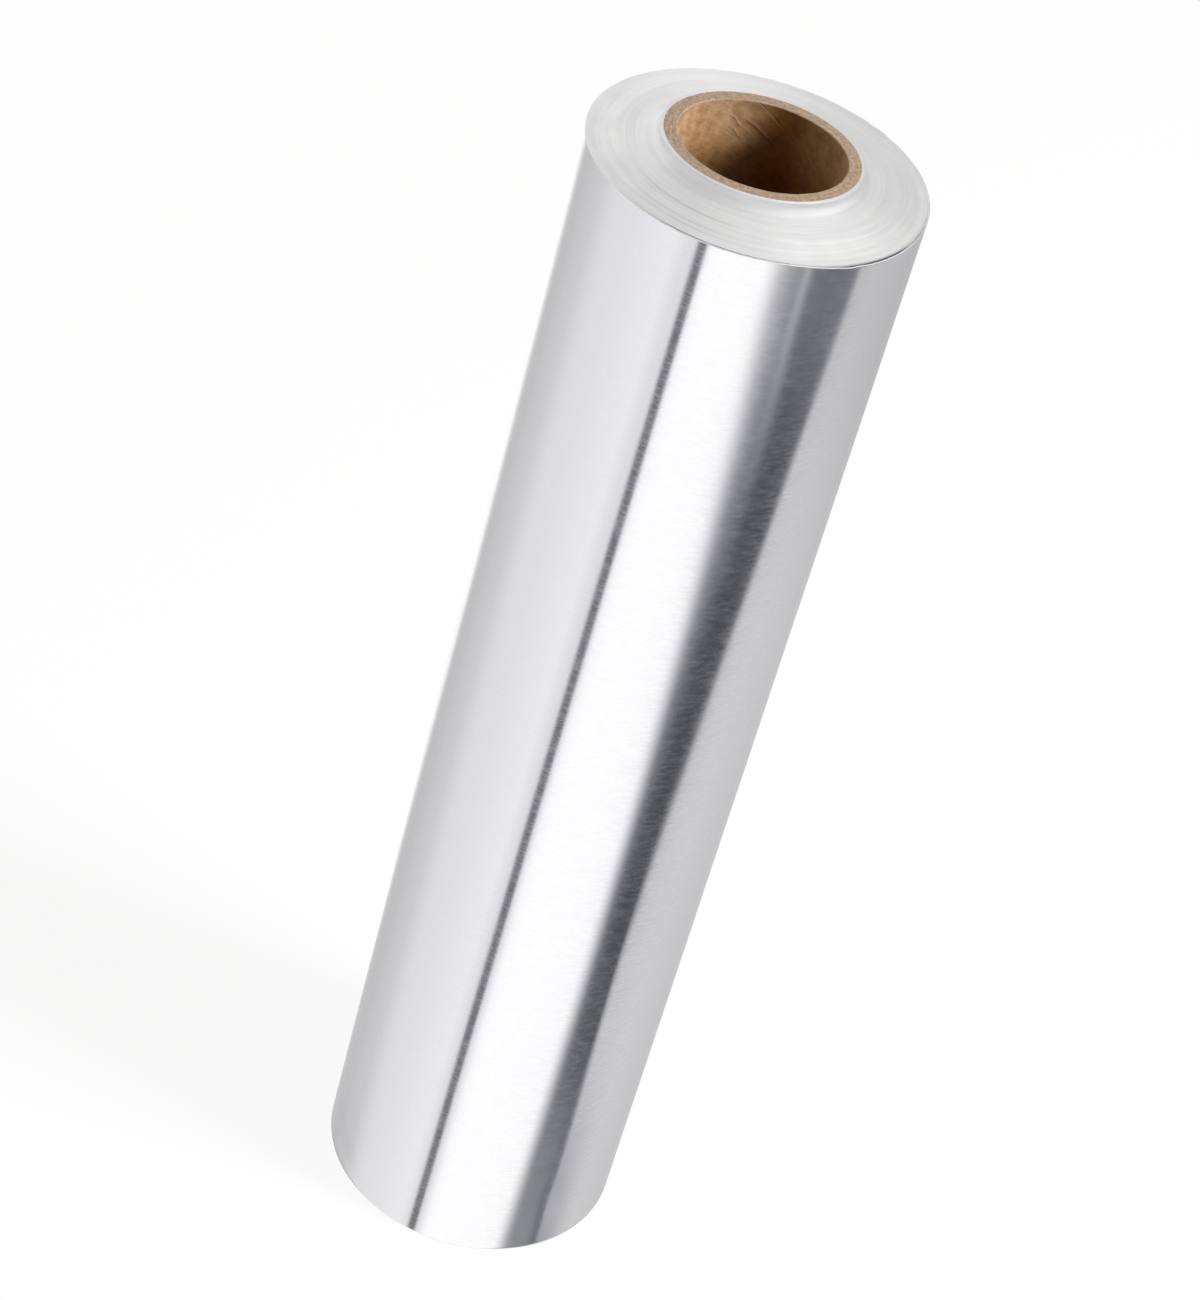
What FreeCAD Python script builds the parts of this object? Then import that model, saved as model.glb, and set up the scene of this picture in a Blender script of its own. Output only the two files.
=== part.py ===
import FreeCAD, Part
import math
import os
import Sketcher

# Roll of aluminium foil standing on its end, in millimetres.
# Z runs up the roll's axis and the origin is the centre of its lower end.
# The loose outer end of the foil lies along the back, at +Y.

SIZES = {
    # width of the foil, which every turn keeps
    "foil_width": 300.0,
    # depth of foil wound on the core
    "foil_build": 16.0,
    # how far the loose outer end stands off the turn below it
    "tail_lap": 0.12,
    # tube that the foil is wound on
    "core_bore": 35.3,
    "core_wall": 3.2,
    # the tube is longer than the foil is wide, and stands out at the top
    "core_proud": 4.8,
    "core_edge_break": 0.3,
    # innermost turns, carried along by the tube up to just below its end
    "collar_wall": 0.65,
    "collar_short": 0.4,
    "collar_flare": 1.7,
    # next turns: how far they have slipped up, less and less from the flare out to a step
    "flare_slip": 2.5,
    "inner_cone_width": 6.3,
    "above_step_slip": 1.45,
    "step_width": 0.6,
    "below_step_slip": 1.15,
    # outermost turns, which lie flush, and the loosened edge of the last ones
    "flush_width": 1.8,
    "rim_break": 0.4,
    # fine gaps between turns, on both end faces
    "gap_pitch": 1.2,
    "gap_width": 0.24,
    "gap_depth": 0.12,
}

# how many fine gaps show inside and outside the step of each end face
INNER_GAP_COUNT = 3
OUTER_GAP_COUNT = 3
# how far a cutting profile runs past the solid that it cuts
PAST = 1.0
QUARTER_TURN = math.pi / 2

CORE_RADIUS = "(Sizes.core_bore / 2 + Sizes.core_wall)"
ROLL_RADIUS = f"({CORE_RADIUS} + Sizes.foil_build)"
CORE_LENGTH = "(Sizes.foil_width + Sizes.core_proud)"
COLLAR_RADIUS = f"({CORE_RADIUS} + Sizes.collar_wall)"
FLARE_FOOT = f"({COLLAR_RADIUS} + Sizes.collar_flare)"
STEP_START = f"({FLARE_FOOT} + Sizes.inner_cone_width)"
STEP_END = f"({STEP_START} + Sizes.step_width)"
FLUSH_START = f"({ROLL_RADIUS} - Sizes.rim_break - Sizes.flush_width)"


def fill_sheet(doc):
    """Puts the driving sizes in the spreadsheet, each under its own alias."""
    sheet = doc.addObject("Spreadsheet::Sheet", "Sizes")
    for row, (alias, value) in enumerate(SIZES.items(), start=1):
        sheet.set(f"A{row}", alias)
        sheet.set(f"B{row}", str(value))
        sheet.setAlias(f"B{row}", alias)
    doc.recompute()
    return sheet


def add_body(doc, label):
    """Starts a sub-part under its own label."""
    body = doc.addObject("PartDesign::Body", label)
    body.Label = label
    body.Placement = FreeCAD.Placement()
    return body


def add_sketch(body, name, role):
    """Lays a sketch on one of the body's own origin planes."""
    plane = next(f for f in body.Origin.OriginFeatures if f.Role == role)
    sketch = body.newObject("Sketcher::SketchObject", name)
    sketch.AttachmentSupport = [(plane, "")]
    sketch.MapMode = "FlatFace"
    return sketch


def bind(sketch, constraint, expression):
    """Adds a constraint and ties its value to the sizes."""
    index = sketch.addConstraint(constraint)
    sketch.setExpression(f"Constraints[{index}]", expression)
    return index


def evaluate(sketch, expression):
    """The value of an expression with the sizes as they are now."""
    return float(sketch.evalExpression(expression))


def add_circle(sketch, radius):
    """Draws a circle of the given radius about the sketch's origin."""
    circle = Part.Circle(FreeCAD.Vector(), FreeCAD.Vector(0, 0, 1), evaluate(sketch, radius))
    edge = sketch.addGeometry(circle)
    sketch.addConstraint(Sketcher.Constraint("Coincident", edge, 3, -1, 1))
    bind(sketch, Sketcher.Constraint("Radius", edge, circle.Radius), radius)
    return edge


def place_point(sketch, edge, end, across, along):
    """Holds one end of an edge at two distances from the sketch's origin."""
    for kind, expression in (("DistanceX", across), ("DistanceY", along)):
        value = evaluate(sketch, expression)
        bind(sketch, Sketcher.Constraint(kind, -1, 1, edge, end, value), expression)


def add_outline(sketch, corners, closed=False):
    """Draws straight edges through the corners and returns the first and last edge."""
    if closed:
        corners = corners + corners[:1]
    points = []
    for across, along in corners:
        points.append(FreeCAD.Vector(evaluate(sketch, across), evaluate(sketch, along), 0))
    edges = []
    for start, end in zip(points, points[1:]):
        edges.append(sketch.addGeometry(Part.LineSegment(start, end)))
    for edge, following in zip(edges, edges[1:]):
        sketch.addConstraint(Sketcher.Constraint("Coincident", edge, 2, following, 1))
    for edge, (across, along) in zip(edges, corners):
        place_point(sketch, edge, 1, across, along)
    if closed:
        sketch.addConstraint(Sketcher.Constraint("Coincident", edges[-1], 2, edges[0], 1))
    else:
        place_point(sketch, edges[-1], 2, *corners[-1])
    return edges[0], edges[-1]


def add_groove(body, sketch, name):
    """Turns a profile about Z and takes it away, and makes sure that it cuts."""
    before = body.Shape.Volume
    groove = body.newObject("PartDesign::Groove", name)
    groove.Profile = sketch
    groove.ReferenceAxis = (sketch, ["V_Axis"])
    groove.Angle = 360.0
    body.Document.recompute()
    if not body.Shape.Volume < before:
        raise RuntimeError(f"{name} cuts nothing")
    return groove


def draw_winding_section(sketch):
    """Draws the wound foil from above: two half circles that meet in a step, the loose end."""
    roll = evaluate(sketch, ROLL_RADIUS)
    lap = evaluate(sketch, "Sizes.tail_lap")
    up = FreeCAD.Vector(0, 0, 1)
    outer_circle = Part.Circle(FreeCAD.Vector(), up, roll)
    under_circle = Part.Circle(FreeCAD.Vector(0, -lap / 2, 0), up, roll - lap / 2)
    outer = sketch.addGeometry(Part.ArcOfCircle(outer_circle, -QUARTER_TURN, QUARTER_TURN))
    under = sketch.addGeometry(Part.ArcOfCircle(under_circle, QUARTER_TURN, 3 * QUARTER_TURN))
    top = FreeCAD.Vector(0, roll, 0)
    step = sketch.addGeometry(Part.LineSegment(top, FreeCAD.Vector(0, roll - lap, 0)))
    sketch.addConstraint(Sketcher.Constraint("Coincident", outer, 3, -1, 1))
    sketch.addConstraint(Sketcher.Constraint("PointOnObject", under, 3, -2))
    sketch.addConstraint(Sketcher.Constraint("Coincident", outer, 2, step, 1))
    sketch.addConstraint(Sketcher.Constraint("Coincident", step, 2, under, 1))
    sketch.addConstraint(Sketcher.Constraint("Coincident", under, 2, outer, 1))
    sketch.addConstraint(Sketcher.Constraint("PointOnObject", outer, 1, -2))
    sketch.addConstraint(Sketcher.Constraint("Vertical", step))
    bind(sketch, Sketcher.Constraint("Radius", outer, roll), ROLL_RADIUS)
    bind(sketch, Sketcher.Constraint("DistanceY", step, 2, step, 1, lap), "Sizes.tail_lap")
    add_circle(sketch, CORE_RADIUS)


def end_profile(base):
    """Corners of one end face, from the foot of the collar's flare out to the flush turns."""
    return [
        (FLARE_FOOT, f"({base}) + Sizes.flare_slip"),
        (STEP_START, f"({base}) + Sizes.above_step_slip"),
        (STEP_END, f"({base}) + Sizes.below_step_slip"),
        (FLUSH_START, base),
    ]


def on_slope(across, start, end):
    """Height of the straight face between two profile corners at a radius between them."""
    (start_across, start_along), (end_across, end_along) = start, end
    share = f"({across} - {start_across}) / ({end_across} - {start_across})"
    return f"({start_along}) + (({end_along}) - ({start_along})) * {share}"


def draw_end_cut(sketch, base, sign, clear):
    """Draws what is cut away at one end: sign is the way out of it and clear lies past the solid."""
    collar_edge = f"({base}) + Sizes.core_proud - Sizes.collar_short"
    flare_top = f"({base}) + Sizes.flare_slip + Sizes.collar_flare"
    inside = f"{CORE_RADIUS} - {PAST}"
    outside = f"{ROLL_RADIUS} + {PAST}"
    corners = [
        (COLLAR_RADIUS, flare_top),
        (COLLAR_RADIUS, collar_edge),
        (inside, collar_edge),
        (inside, clear),
        (outside, clear),
        (outside, f"({base}) - ({sign}) * (Sizes.rim_break + {PAST})"),
        (f"{ROLL_RADIUS} - Sizes.rim_break", base),
    ]
    corners += reversed(end_profile(base))
    first, last = add_outline(sketch, corners)
    flare = evaluate(sketch, "Sizes.collar_flare")
    foot = FreeCAD.Vector(evaluate(sketch, FLARE_FOOT), evaluate(sketch, flare_top), 0)
    circle = Part.Circle(foot, FreeCAD.Vector(0, 0, 1), flare)
    arc = sketch.addGeometry(Part.ArcOfCircle(circle, 2 * QUARTER_TURN, 3 * QUARTER_TURN))
    sketch.addConstraint(Sketcher.Constraint("Coincident", arc, 1, first, 1))
    sketch.addConstraint(Sketcher.Constraint("Coincident", arc, 2, last, 2))
    bind(sketch, Sketcher.Constraint("Radius", arc, flare), "Sizes.collar_flare")


def draw_gaps(sketch, start, end, sign, count):
    """Draws notches for the gaps between turns on one sloping face; sign is the way out of it."""
    for number in range(1, count + 1):
        middle = f"{start[0]} + {number} * Sizes.gap_pitch"
        face = on_slope(middle, start, end)
        mouth = f"{face} + ({sign}) * Sizes.gap_depth"
        bottom = f"{face} - ({sign}) * Sizes.gap_depth"
        corners = [
            (f"{middle} - Sizes.gap_width", mouth),
            (f"{middle} + Sizes.gap_width", mouth),
            (middle, bottom),
        ]
        add_outline(sketch, corners, closed=True)


def build_winding(doc):
    """All the turns of foil as one solid: each turn is a foil width long and only slips along Z."""
    body = add_body(doc, "foil_winding")

    section = add_sketch(body, "winding_section", "XY_Plane")
    draw_winding_section(section)
    section.AttachmentOffset = FreeCAD.Placement(FreeCAD.Vector(0, 0, -PAST), FreeCAD.Rotation())
    pad = body.newObject("PartDesign::Pad", "wound_foil")
    pad.Profile = section
    pad.setExpression("Length", f"{CORE_LENGTH} + {2 * PAST}")
    doc.recompute()

    # the same profile trims both ends, a foil width apart, so that every turn is as long
    ends = [
        ("upper", "Sizes.foil_width", 1, f"{CORE_LENGTH} + {2 * PAST}"),
        ("lower", "0", -1, f"{-2 * PAST}"),
    ]
    for name, base, sign, clear in ends:
        trim = add_sketch(body, f"{name}_end", "XZ_Plane")
        draw_end_cut(trim, base, sign, clear)
        add_groove(body, trim, f"{name}_end_cut")
        gaps = add_sketch(body, f"{name}_gaps", "XZ_Plane")
        foot, above_step, below_step, flush = end_profile(base)
        draw_gaps(gaps, foot, above_step, sign, INNER_GAP_COUNT)
        draw_gaps(gaps, below_step, flush, sign, OUTER_GAP_COUNT)
        add_groove(body, gaps, f"{name}_gaps_cut")
    return body


def build_core(doc):
    """The spiral-wound card tube, one piece, as long as the foil is wide plus what stands out."""
    body = add_body(doc, "cardboard_core")
    section = add_sketch(body, "tube_section", "XY_Plane")
    add_circle(section, CORE_RADIUS)
    add_circle(section, "Sizes.core_bore / 2")
    pad = body.newObject("PartDesign::Pad", "tube")
    pad.Profile = section
    pad.setExpression("Length", CORE_LENGTH)
    doc.recompute()

    ends = [f"Edge{n}" for n, e in enumerate(pad.Shape.Edges, start=1) if e.Curve.TypeId == "Part::GeomCircle"]
    broken = body.newObject("PartDesign::Chamfer", "cut_ends")
    broken.Base = (pad, ends)
    broken.setExpression("Size", "Sizes.core_edge_break")
    doc.recompute()
    return body


def check(doc, parts):
    """Stops unless every feature has built and every sub-part is one sound solid."""
    for thing in doc.Objects:
        if {"Invalid", "Error"} & set(thing.State):
            raise RuntimeError(f"{thing.Label} did not build: {thing.State}")
    for part in parts:
        shape = part.Shape
        if shape.isNull() or not shape.isValid() or len(shape.Solids) != 1:
            raise RuntimeError(f"{part.Label} is not one sound solid")


def main():
    doc = FreeCAD.newDocument("foil_roll")
    fill_sheet(doc)
    parts = [build_winding(doc), build_core(doc)]
    doc.recompute()
    check(doc, parts)
    os.makedirs("parts", exist_ok=True)
    for part in parts:
        part.Shape.exportStep(f"parts/{part.Label}.step")
        print(part.Label, round(part.Shape.Volume, 1), part.Shape.BoundBox)


main()
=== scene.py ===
"""Aluminium foil roll: the wound foil, its card tube and the studio round them.

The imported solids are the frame. The winding and the tube are modelled again here with
the fine unevenness that foil and card have, and each gets its own finish.
All lengths are in metres and all angles in degrees unless a name says otherwise.
"""
import math

import bmesh
import bpy
import numpy as np
from mathutils import Matrix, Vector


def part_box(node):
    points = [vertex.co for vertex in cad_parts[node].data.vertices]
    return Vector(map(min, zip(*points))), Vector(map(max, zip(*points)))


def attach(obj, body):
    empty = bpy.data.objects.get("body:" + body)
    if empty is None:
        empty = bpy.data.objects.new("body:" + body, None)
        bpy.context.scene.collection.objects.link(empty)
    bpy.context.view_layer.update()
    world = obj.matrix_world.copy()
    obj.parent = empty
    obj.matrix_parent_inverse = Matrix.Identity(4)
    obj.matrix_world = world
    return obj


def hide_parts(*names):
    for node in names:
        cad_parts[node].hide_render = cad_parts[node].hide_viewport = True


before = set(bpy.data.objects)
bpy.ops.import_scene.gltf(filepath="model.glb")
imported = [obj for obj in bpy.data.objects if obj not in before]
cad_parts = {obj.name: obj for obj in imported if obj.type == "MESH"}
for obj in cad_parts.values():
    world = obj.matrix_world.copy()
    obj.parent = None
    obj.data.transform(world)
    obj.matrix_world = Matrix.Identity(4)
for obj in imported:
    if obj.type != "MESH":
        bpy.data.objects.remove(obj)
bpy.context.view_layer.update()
WINDING_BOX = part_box("foil_winding")
TUBE_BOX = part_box("cardboard_core")

bl_info = {
    "name": "Foil roll",
    "version": (1, 0, 0),
    "blender": (4, 5, 0),
    "location": "3D View > Sidebar > Foil roll",
    "description": "Builds a roll of aluminium foil on its card tube, with a studio",
    "category": "Add Mesh",
}

MM = 0.001
FULL_TURN = 2 * math.pi
TAIL_ANGLE = 0.5 * math.pi
LOOSE_RIM_ANGLE = math.radians(285.0)
HIGH_SIDE_ANGLE = math.radians(195.0)

# seeds of the unevenness of each surface
UPPER_END_SEED = 11
LOWER_END_SEED = 23
RIM_SEED = 31
RIM_GAP_SEED = 33
WALL_SEED = 41
TAIL_SEED = 43
BORE_SEED = 51
CUT_SEED = 61


# Sizes and finishes that a user can change


def length(name, description, default, low=0.0, high=1.0):
    """A length property in metres."""
    return bpy.props.FloatProperty(
        name=name,
        description=description,
        default=default,
        min=low,
        max=high,
        precision=5,
        unit="LENGTH",
    )


def share(name, description, default, high=1.0):
    """A plain number from nothing up to high."""
    return bpy.props.FloatProperty(
        name=name, description=description, default=default, min=0.0, max=high
    )


def colour(name, description, default):
    """A colour property without alpha."""
    return bpy.props.FloatVectorProperty(
        name=name,
        description=description,
        default=default,
        size=3,
        min=0.0,
        max=1.0,
        subtype="COLOR",
    )


class FoilWindingSizes(bpy.types.PropertyGroup):
    """Lengths of the wound foil."""

    roll_radius: length("Roll radius", "Outside of the last turn", WINDING_BOX[1].x)
    tube_radius: length("Tube radius", "Inside of the first turn", TUBE_BOX[1].x - 0.16 * MM)
    top: length("Top of the collar", "Height of the innermost turns", TUBE_BOX[1].z - 0.02 * MM)
    foil_width: length("Foil width", "Width of the foil, which is each turn's height", 300 * MM)
    collar_wall: length("Collar wall", "Thickness of the turns that went with the tube", 0.89 * MM)
    flare_radius: length("Flare radius", "Curve at the foot of the collar", 2.2 * MM)
    flare_slip: length("Flare slip", "How far the turns at the flare's foot have slipped", 2.5 * MM)
    cone_width: length("Cone width", "Width of the inner sloping turns", 6.3 * MM)
    cone_slip: length("Cone slip", "Slip of the last turn before the step", 1.45 * MM)
    step_width: length("Step width", "Width of the step between the sloping turns", 0.6 * MM)
    step_slip: length("Step slip", "Slip of the first turn after the step", 1.15 * MM)
    flush_width: length("Flush width", "Width of the outer turns that have not slipped", 1.8 * MM)
    rim_radius: length("Rim radius", "Rounding where wall and upper end meet", 0.14 * MM)
    foot_radius: length("Foot radius", "Rounding where wall and lower end meet", 0.32 * MM)
    rim_width: length("Rim width", "Outermost turns that lie loose at the rim", 0.74 * MM)
    end_lift: length("End lift", "How much higher the outer turns stand all round", 0.3 * MM)
    end_tilt: length("End tilt", "How much higher the turns stand at the left", 0.42 * MM)
    rim_gap: length("Rim gap", "Depth of the gap behind the loose turns", 0.85 * MM)
    lip_slip: length("Lip slip", "How far the loose turns have slipped at the right", 0.55 * MM)
    tail_lap: length("Tail lap", "Step at the loose outer end of the foil", 0.12 * MM)
    tail_lift: length("Tail lift", "How far the loose outer end stands off", 0.1 * MM)
    tail_length: length("Tail length", "How much of the outer end stands off", 11 * MM)


class FoilFinish(bpy.types.PropertyGroup):
    """Colours of the foil."""

    wall_dull: colour("Dull wall", "Foil in the dull lines of the wall", (0.895, 0.898, 0.906))
    wall_clear: colour("Clear wall", "Foil between the dull lines", (0.92, 0.92, 0.925))
    edge_dull: colour("Dull edges", "Turn edges that lie deep", (0.84, 0.84, 0.84))
    edge_clear: colour("Clear edges", "Turn edges that catch the light", (0.95, 0.95, 0.948))
    # painted shade: a dark colour for the foil deep in the gap behind the loose turns
    rim_gap_painted_shade: colour("Rim shade", "Foil deep between the loose turns", (0.28, 0.26, 0.27))


class TubeSizes(bpy.types.PropertyGroup):
    """Lengths of the card tube."""

    outer_radius: length("Outer radius", "Outside of the tube", TUBE_BOX[1].x - 0.17 * MM)
    bore_radius: length("Bore radius", "Inside of the tube", 17.8 * MM)
    edge_break: length("Inner edge", "Rounding of the cut edges at the bore", 0.28 * MM)
    outer_break: length("Outer edge", "Rounding of the cut edges at the foil", 0.04 * MM)
    seam_width: length("Seam width", "Width of the gap between the strips", 0.5 * MM)
    seam_depth: length("Seam depth", "Depth of the gap between the strips", 0.04 * MM)
    strip_turns: bpy.props.IntProperty(
        name="Strip turns",
        description="Times that the card strip goes round the tube",
        default=4,
        min=1,
        max=12,
    )
    plies: bpy.props.IntProperty(
        name="Plies",
        description="Layers of card that show on the cut end",
        default=5,
        min=1,
        max=12,
    )


class CardFinish(bpy.types.PropertyGroup):
    """Colours of the card, and of the painted shade in its bore."""

    bore_light: colour("Light bore", "Pale fibres of the inner strip", (0.53, 0.345, 0.195))
    bore_dark: colour("Dark bore", "Brown fibres of the inner strip", (0.27, 0.155, 0.075))
    # painted shade: darkens the bore's strip deeper in the tube, where less light gets in
    bore_stain: colour("Bore stain", "Tint of the strip deeper in the tube", (0.62, 0.52, 0.38))
    # painted shade: a browner, darker patch on the bore's back wall, on the side that the key lamp
    # doesn't reach
    bore_damp: colour("Bore damp", "Tint of the darker patch at the back", (0.55, 0.42, 0.22))
    cut_light: colour("Light cut", "Pale fibres of the cut end", (0.465, 0.359, 0.277))
    cut_dark: colour("Dark cut", "Glue lines of the cut end", (0.285, 0.195, 0.137))
    # the specks' colour also gives the seam's dark joint and the painted shade along the bore's
    # creases
    speck: colour("Specks", "Dark specks in the card", (0.13, 0.075, 0.04))


class StudioLight(bpy.types.PropertyGroup):
    """Levels of the light."""

    ambient: share("Ambient", "Light from all round on card and floor", 0.02)
    left_fill: share("Left fill", "Extra light from the left", 1.15, 2.0)
    fill: share("Fill", "Extra light from above and the right", 0.34)
    key_power: bpy.props.FloatProperty(
        name="Key lamp",
        description="Power of the wide soft lamp at the right",
        default=43.0,
        min=0.0,
        max=100.0,
        unit="POWER",
    )
    floor: colour("Floor", "Colour of the floor", (0.97, 0.975, 1.0))
    shadow: share("Shadow", "How much of the floor's own shading the camera sees", 0.1)


# Mesh making


def ripples(seed, angle, along, most_round, shortest, count=24):
    """Smooth unevenness of about -1 to 1 that closes on itself round the roll."""
    draw = np.random.default_rng(seed)
    total = np.zeros(np.broadcast(angle, along).shape)
    for _ in range(count):
        turns = draw.integers(0, most_round + 1)
        wave = draw.uniform(-1.0, 1.0) * FULL_TURN / shortest
        phase = draw.uniform(0.0, FULL_TURN)
        total += np.cos(turns * angle + wave * along + phase)
    return total / math.sqrt(count)


def eased(value, low, high):
    """0 below low, 1 above high and a smooth change between."""
    step = np.clip((value - low) / (high - low), 0.0, 1.0)
    return step * step * (3.0 - 2.0 * step)


def bell(ratio):
    """1 at 0, and less and less to both sides."""
    return np.exp(-0.5 * ratio**2)


def off_line(across, up, start, end):
    """How far places on an unrolled wall are from the line between two points."""
    run = end[0] - start[0]
    rise = end[1] - start[1]
    t = ((across - start[0]) * run + (up - start[1]) * rise) / (run**2 + rise**2)
    t = np.clip(t, 0.0, 1.0)
    return np.hypot(across - start[0] - t * run, up - start[1] - t * rise)


def between(start, end, count):
    """Evenly spaced values after start, up to and with end."""
    return [start + (end - start) * (i + 1) / count for i in range(count)]


# how far the tube's mouth is out of round and to the left, and how deep this reaches
MOUTH_OVAL = 0.32 * MM
MOUTH_SHIFT = 0.2 * MM
MOUTH_DEPTH = 70 * MM


def out_of_round(angle, depth):
    """How far the tube's mouth stands off a true circle, less and less down the tube."""
    shape = MOUTH_OVAL * np.cos(2.0 * angle) - MOUTH_SHIFT * np.cos(angle)
    return shape * (1.0 - eased(depth, 0.0, MOUTH_DEPTH))


def ring_points(rings):
    """Points of rings that are given by the radius, height and angle of their columns."""
    points = np.zeros((len(rings), len(rings[0][2]), 3))
    for row, (radius, height, angle) in enumerate(rings):
        points[row, :, 0] = radius * np.cos(angle)
        points[row, :, 1] = radius * np.sin(angle)
        points[row, :, 2] = height
    return points


def ring_mesh(name, points, bands):
    """A mesh from rings of points, each joined to the next and the last to the first.

    points is an array (rings, columns, 3), whose last column is joined back to the first
    one, and bands gives each ring's material number.
    """
    rings, columns = points.shape[:2]
    index = np.arange(rings * columns).reshape(rings, columns)
    above = np.roll(index, -1, axis=0)
    right = np.roll(index, -1, axis=1)
    right_above = np.roll(above, -1, axis=1)
    quads = np.stack([index, right, right_above, above], axis=-1)
    numbers = np.repeat(np.asarray(bands), columns)
    mesh = bpy.data.meshes.new(name)
    mesh.from_pydata(points.reshape(-1, 3).tolist(), [], quads.reshape(-1, 4).tolist())
    mesh.polygons.foreach_set("material_index", numbers.astype(np.int32))
    return mesh


def finish_mesh(mesh, sharp_angle):
    """Closes the mesh, turns its faces outward and shades it smooth."""
    work = bmesh.new()
    work.from_mesh(mesh)
    bmesh.ops.remove_doubles(work, verts=work.verts[:], dist=1e-7)
    bmesh.ops.dissolve_degenerate(work, edges=work.edges[:], dist=1e-8)
    bmesh.ops.recalc_face_normals(work, faces=work.faces[:])
    open_edges = sum(1 for edge in work.edges if len(edge.link_faces) != 2)
    if open_edges:
        raise RuntimeError(f"{mesh.name} has {open_edges} edges that do not close")
    if work.calc_volume(signed=True) < 0.0:
        bmesh.ops.reverse_faces(work, faces=work.faces[:])
    work.to_mesh(mesh)
    work.free()
    mesh.polygons.foreach_set("use_smooth", [True] * len(mesh.polygons))
    mesh.set_sharp_from_angle(angle=math.radians(sharp_angle))
    mesh.update()


def show_piece(name, mesh, materials, node):
    """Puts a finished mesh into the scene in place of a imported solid."""
    for material in materials:
        mesh.materials.append(material)
    piece = bpy.data.objects.new(name, mesh)
    bpy.context.scene.collection.objects.link(piece)
    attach(piece, "root")
    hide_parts(node)
    return piece


# Wound foil


# material numbers of the winding
WALL = 0
EDGES = 1


def end_profile(sizes, spacing):
    """Radius and slip of the turns from the collar's top edge to the rim, as pairs."""
    collar = sizes.tube_radius + sizes.collar_wall
    slip = sizes.top - sizes.foil_width
    foot = collar + sizes.flare_radius
    arc_top = sizes.flare_slip + sizes.flare_radius
    step = foot + sizes.cone_width
    after = step + sizes.step_width
    rim = sizes.roll_radius - sizes.rim_width
    flush = rim - sizes.flush_width + 0.2 * MM
    pairs = [(collar - 0.04 * MM, slip), (collar, slip - 0.03 * MM)]
    pairs.append((collar, arc_top))
    for turn in between(0.0, 0.5 * math.pi, 9):
        reach = sizes.flare_radius * (1.0 - math.cos(turn))
        fall = sizes.flare_radius * math.sin(turn)
        pairs.append((collar + reach, arc_top - fall))
    stretches = [
        (foot, sizes.flare_slip, step, sizes.cone_slip, spacing),
        (step, sizes.cone_slip, after, sizes.step_slip, 0.5 * spacing),
        (after, sizes.step_slip, flush, 0.0, spacing),
        (flush, 0.0, rim, 0.0, spacing),
    ]
    for r0, s0, r1, s1, pitch in stretches:
        count = max(3, round((r1 - r0) / pitch))
        pairs += list(zip(between(r0, r1, count), between(s0, s1, count)))
    return pairs


GAPS = (
    # radius, then first and last angle, half width and depth of gaps between turns
    (23.75, 222.0, 266.0, 0.20, 0.30),
    (26.10, 205.0, 250.0, 0.16, 0.08),
    (27.60, 255.0, 305.0, 0.16, 0.04),
    (29.35, 214.0, 272.0, 0.17, 0.34),
    (31.60, 196.0, 246.0, 0.16, 0.07),
    (32.55, 224.0, 270.0, 0.16, 0.14),
    (33.90, 228.0, 288.0, 0.15, 0.12),
    (34.90, 282.0, 340.0, 0.14, 0.07),
    (25.20, 40.0, 120.0, 0.16, 0.05),
    (32.10, 60.0, 150.0, 0.16, 0.06),
)


def arc_share(angle, first, last, soft=14.0):
    """1 between two angles, easing to 0 beyond them."""
    middle = 0.5 * (first + last)
    off = np.abs((np.degrees(angle) - middle + 180.0) % 360.0 - 180.0)
    half = 0.5 * (last - first)
    return 1.0 - eased(off, half - soft, half + soft)


def upper_stand(sizes, angle, base):
    """How far the turns at one radius of the upper end stand above their even place."""
    outward = float(eased(base, sizes.tube_radius + 2.0 * MM, sizes.roll_radius - MM))
    lean = sizes.end_lift + sizes.end_tilt * np.cos(angle - HIGH_SIDE_ANGLE)
    stand = lean * outward
    for radius, first, last, width, depth in GAPS:
        wander = 0.05 * MM * np.sin(3.0 * angle + radius)
        off = (base - radius * MM - wander) / (width * MM)
        stand = stand - depth * MM * bell(off) * arc_share(angle, first, last)
    return stand


def rim_stations(sizes, angle):
    """The loose outermost turns, as pairs of radius and height, from the face outward."""
    outer = sizes.roll_radius
    level = sizes.foil_width + upper_stand(sizes, angle, outer)
    rag = ripples(RIM_SEED, angle, 0.0, 70, 1.0, 40)
    open_gap = 0.05 + 0.95 * arc_share(angle, 240.0, 352.0, 14.0)
    open_gap = open_gap * (0.85 + 0.2 * ripples(RIM_GAP_SEED, angle, 0.0, 26, 1.0, 20))
    slipped = arc_share(angle, 304.0, 365.0, 16.0)
    nick = 0.12 * MM * np.sin(0.55 * (np.degrees(angle) + 48.0))
    nick = nick * arc_share(angle, 309.0, 315.0, 5.0)
    lip = level - sizes.lip_slip * slipped + 0.035 * MM * rag + nick
    wide_open = 1.0 + 0.8 * arc_share(angle, 248.0, 272.0, 9.0)
    gap = sizes.rim_gap * open_gap * wide_open
    return [
        (outer - 0.7 * MM, level - 0.03 * MM * open_gap),
        (outer - 0.62 * MM, level - 0.5 * gap),
        (outer - 0.52 * MM, level - gap),
        (outer - 0.39 * MM, np.minimum(level, lip) - gap),
        (outer - 0.31 * MM, lip - 0.5 * gap),
        (outer - 0.27 * MM, lip - 0.03 * MM),
        (outer - 0.2 * MM, lip),
        (outer - sizes.rim_radius, lip),
        (outer - 0.04 * MM, lip - 0.05 * MM),
        (outer, lip - sizes.rim_radius),
        (outer, lip - sizes.rim_radius - 0.1 * MM),
    ]


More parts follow.
